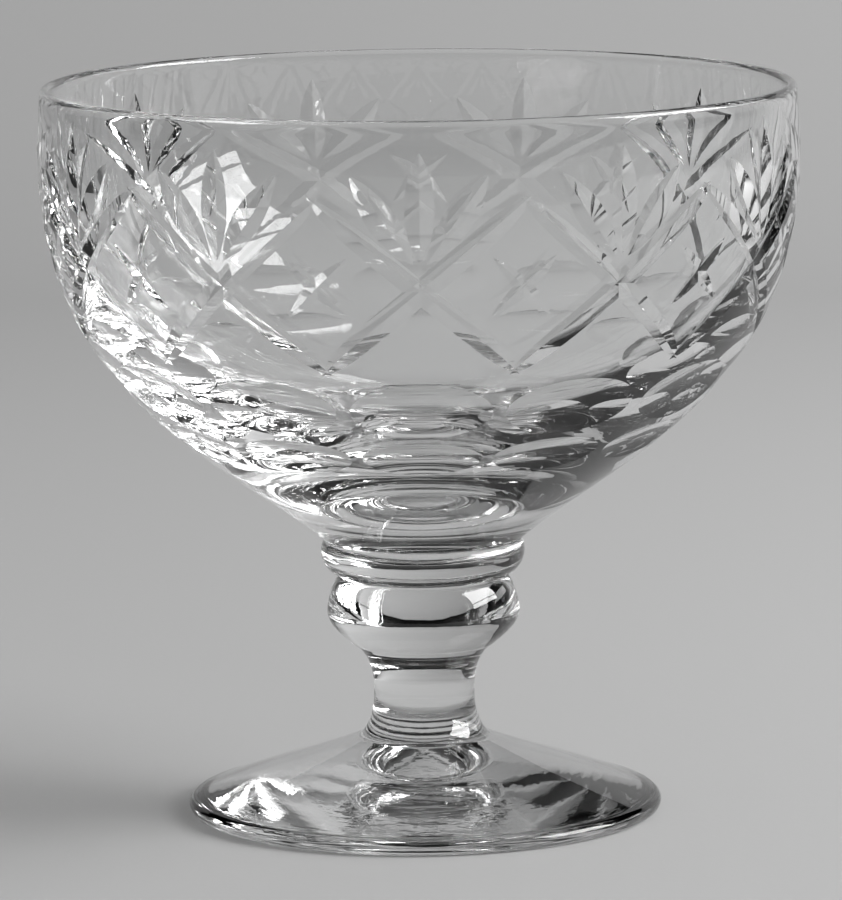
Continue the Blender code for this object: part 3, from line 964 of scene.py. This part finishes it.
@dataclass(frozen=True)
class SweepFinish:
    """Matt grey paper with a faint tooth; its colour darkens a little towards the back as painted shade,
    where less light reaches the backdrop.
    """

    name: str = "sweep_paper"
    grey: float = 0.44
    # The darker grey at the back and the Y span of its fade are painted shade, not a colour of the paper.
    painted_shade_back_grey: float = 0.42
    painted_shade_fade: tuple[float, float] = (0.25, 0.6)
    tooth_scale: float = 900.0
    tooth_height: float = 0.05 * MM
    tooth_strength: float = 0.3
    roughness: float = 0.9
    specular: float = 0.1

    def material(self) -> bpy.types.Material:
        """Makes the material.

        Returns:
            A Principled paper material.
        """
        made = bpy.data.materials.new(self.name)
        made.use_nodes = True
        nodes = made.node_tree.nodes
        links = made.node_tree.links
        shader = nodes["Principled BSDF"]
        shader.inputs["Roughness"].default_value = self.roughness
        shader.inputs["Specular IOR Level"].default_value = self.specular
        place = nodes.new("ShaderNodeTexCoord")
        tooth = nodes.new("ShaderNodeTexNoise")
        tooth.inputs["Scale"].default_value = self.tooth_scale
        bump = nodes.new("ShaderNodeBump")
        bump.inputs["Distance"].default_value = self.tooth_height
        bump.inputs["Strength"].default_value = self.tooth_strength
        split = nodes.new("ShaderNodeSeparateXYZ")
        # Painted shade: the base colour goes from the front grey to the darker back grey along Y.
        painted_shade_fade = nodes.new("ShaderNodeMapRange")
        painted_shade_fade.interpolation_type = "SMOOTHSTEP"
        painted_shade_fade.inputs["From Min"].default_value, painted_shade_fade.inputs["From Max"].default_value = self.painted_shade_fade
        painted_shade_fade.inputs["To Min"].default_value = self.grey
        painted_shade_fade.inputs["To Max"].default_value = self.painted_shade_back_grey
        links.new(place.outputs["Object"], split.inputs["Vector"])
        links.new(split.outputs["Y"], painted_shade_fade.inputs["Value"])
        links.new(painted_shade_fade.outputs["Result"], shader.inputs["Base Color"])
        links.new(place.outputs["Object"], tooth.inputs["Vector"])
        links.new(tooth.outputs["Fac"], bump.inputs["Height"])
        links.new(bump.outputs["Normal"], shader.inputs["Normal"])
        return made


def turned_place(axes: tuple[np.ndarray, ...], place: np.ndarray) -> Matrix:
    """Matrix that turns X, Y and Z to three axes and moves to a place."""
    turn = Matrix([(*row,) for row in np.stack(axes, 1)]).to_4x4()
    return Matrix.Translation(place.tolist()) @ turn


@dataclass(frozen=True)
class SoftLamp:
    """Rectangular lamp that faces the glass.

    The azimuth is in degrees from the camera's side towards the right, and the elevation in degrees above
    the table. The radiance of the lamp's face is 1 for white.
    """

    name: str
    azimuth: float
    elevation: float
    distance: float
    size: tuple[float, float]
    radiance: float
    aim: tuple[float, float, float] = (0.0, 0.0, 0.05)

    def build(self) -> None:
        """Makes the lamp, with an energy of pi times radiance times area."""
        data = bpy.data.lights.new(self.name, "AREA")
        data.shape = "RECTANGLE"
        data.size, data.size_y = self.size
        data.energy = self.radiance * math.pi * self.size[0] * self.size[1]
        made = bpy.data.objects.new(self.name, data)
        bpy.context.scene.collection.objects.link(made)
        side = math.radians(self.azimuth)
        rise = math.radians(self.elevation)
        flat = math.cos(rise)
        away = np.array([math.sin(side) * flat, -math.cos(side) * flat, math.sin(rise)])
        right = np.array([math.cos(side), math.sin(side), 0.0])
        up = np.cross(away, right)
        made.matrix_world = turned_place((right, up, away), away * self.distance + np.array(self.aim))


@dataclass
class Studio:
    """Grey sweep, soft window light from the right, dark room and the photograph's camera."""

    image_height: int = 900
    camera_distance: float = 0.800
    camera_height: float = 0.170
    camera_side: float = -0.0001
    focal_pixels: float = 6411.4
    pitch: float = math.radians(8.813)
    roll: float = math.radians(-0.598)
    sensor: float = 36.0
    clip: tuple[float, float] = (0.01, 20.0)
    sweep_left: float = -0.6
    sweep_right: float = 1.2
    sweep_front: float = -0.4
    sweep_back: float = 0.5
    cove_radius: float = 0.3
    sweep_height: float = 0.4
    cove_steps: int = 24
    columns: int = 9
    room_grey: float = 0.004
    fill_grey: float = 0.46
    glass_bounces: int = 32
    glossy_bounces: int = 16
    lamps: tuple[SoftLamp, ...] = (
        SoftLamp("window", 85.0, 31.0, 1.0, (0.73, 0.42), 12.0),
        SoftLamp("window_foot", 85.0, 15.5, 1.0, (0.73, 0.085), 12.0),
        SoftLamp("bright_wall", 115.0, 13.5, 1.05, (0.56, 0.165), 3.0),
    )

    def sweep(self) -> None:
        """Floor and backdrop in one sheet: a straight floor, a quarter-circle cove and a straight rise."""
        turn = np.linspace(0.0, math.pi / 2, self.cove_steps)
        depth = self.sweep_back + self.cove_radius * np.sin(turn)
        cove = np.stack([depth, self.cove_radius * (1 - np.cos(turn))], 1)
        top = (self.sweep_back + self.cove_radius, self.sweep_height)
        line = joined((self.sweep_front, 0.0), cove, top)
        across = np.linspace(self.sweep_left, self.sweep_right, self.columns)
        grid = np.stack(np.broadcast_arrays(across, line[:, :1], line[:, 1:]), -1).reshape(-1, 3)
        row = self.columns * np.arange(len(line) - 1)[:, None] + np.arange(self.columns - 1)
        faces = np.stack([row, row + 1, row + 1 + self.columns, row + self.columns], -1).reshape(-1, 4)
        mesh = bpy.data.meshes.new("sweep")
        mesh.from_pydata(grid.tolist(), [], faces.tolist())
        mesh.polygons.foreach_set("use_smooth", np.ones(len(faces), bool))
        mesh.materials.append(SweepFinish().material())
        sheet = bpy.data.objects.new("sweep", mesh)
        bpy.context.scene.collection.objects.link(sheet)

    def world(self) -> None:
        """A dark room to glass and camera, and an even fill to the paper, also through the glass."""
        world = bpy.data.worlds.new("room")
        bpy.context.scene.world = world
        world.use_nodes = True
        nodes = world.node_tree.nodes
        links = world.node_tree.links
        back = nodes["Background"]
        path = nodes.new("ShaderNodeLightPath")
        shown = maths(nodes, "ShaderNodeMath", "ADD")
        seen = maths(nodes, "ShaderNodeMath", "ADD")
        seen.use_clamp = True
        direct = maths(nodes, "ShaderNodeMath", "SUBTRACT")
        direct.use_clamp = True
        mix = nodes.new("ShaderNodeMix")
        mix.data_type = "RGBA"
        mix.inputs["A"].default_value = (self.fill_grey, self.fill_grey, self.fill_grey, 1.0)
        mix.inputs["B"].default_value = (self.room_grey, self.room_grey, self.room_grey, 1.0)
        links.new(path.outputs["Is Camera Ray"], shown.inputs[0])
        links.new(path.outputs["Is Glossy Ray"], shown.inputs[1])
        links.new(shown.outputs["Value"], seen.inputs[0])
        links.new(path.outputs["Is Transmission Ray"], seen.inputs[1])
        links.new(seen.outputs["Value"], direct.inputs[0])
        links.new(path.outputs["Diffuse Depth"], direct.inputs[1])
        links.new(direct.outputs["Value"], mix.inputs["Factor"])
        links.new(mix.outputs["Result"], back.inputs["Color"])

    def camera(self) -> None:
        """Places the camera where the photograph's rim and foot ellipses put it."""
        data = bpy.data.cameras.new("camera")
        data.sensor_fit = "VERTICAL"
        data.sensor_height = self.sensor
        data.lens = self.focal_pixels * self.sensor / self.image_height
        data.clip_start, data.clip_end = self.clip
        made = bpy.data.objects.new("camera", data)
        bpy.context.scene.collection.objects.link(made)
        level = np.array([1.0, 0.0, 0.0])
        up = np.array([0.0, math.sin(self.pitch), math.cos(self.pitch)])
        back = np.array([0.0, -math.cos(self.pitch), math.sin(self.pitch)])
        right = math.cos(self.roll) * level + math.sin(self.roll) * up
        top = math.cos(self.roll) * up - math.sin(self.roll) * level
        place = np.array([self.camera_side, -self.camera_distance, self.camera_height])
        made.matrix_world = turned_place((right, top, back), place)
        bpy.context.scene.camera = made

    def build(self) -> None:
        """Sets up the sweep, the lights, the room and the camera."""
        self.sweep()
        for lamp in self.lamps:
            lamp.build()
        self.world()
        self.camera()
        scene = bpy.context.scene
        scene.view_settings.view_transform = "Standard"
        scene.cycles.max_bounces = self.glass_bounces
        scene.cycles.transmission_bounces = self.glass_bounces
        scene.cycles.glossy_bounces = self.glossy_bounces
        scene.cycles.transparent_max_bounces = self.glass_bounces
        log.info("studio ready")


def main() -> None:
    """Builds and dresses every piece, then the studio."""
    logging.basicConfig(level=logging.INFO, format="%(name)s %(message)s")
    stack = Stack()
    ripple = Effects.ripple()
    film = Effects.film()
    fused = FusedJoint().material()
    worked = GlassFinish("worked_glass", cord_scale=1100.0, cord_share=0.4).material(ripple, film)
    blown = GlassFinish("blown_glass").material(ripple, film)
    cut = GlassFinish("cut_glass", ripple_height=0.01 * MM).material(ripple, film)
    for piece in (Foot(stack), Stem(stack), Collar(stack)):
        piece.dress(piece.build(), worked, fused)
    bowl = Bowl(stack)
    bowl.dress(bowl.build(), blown, fused, cut)
    Studio().build()


if __name__ == "__main__":
    main()
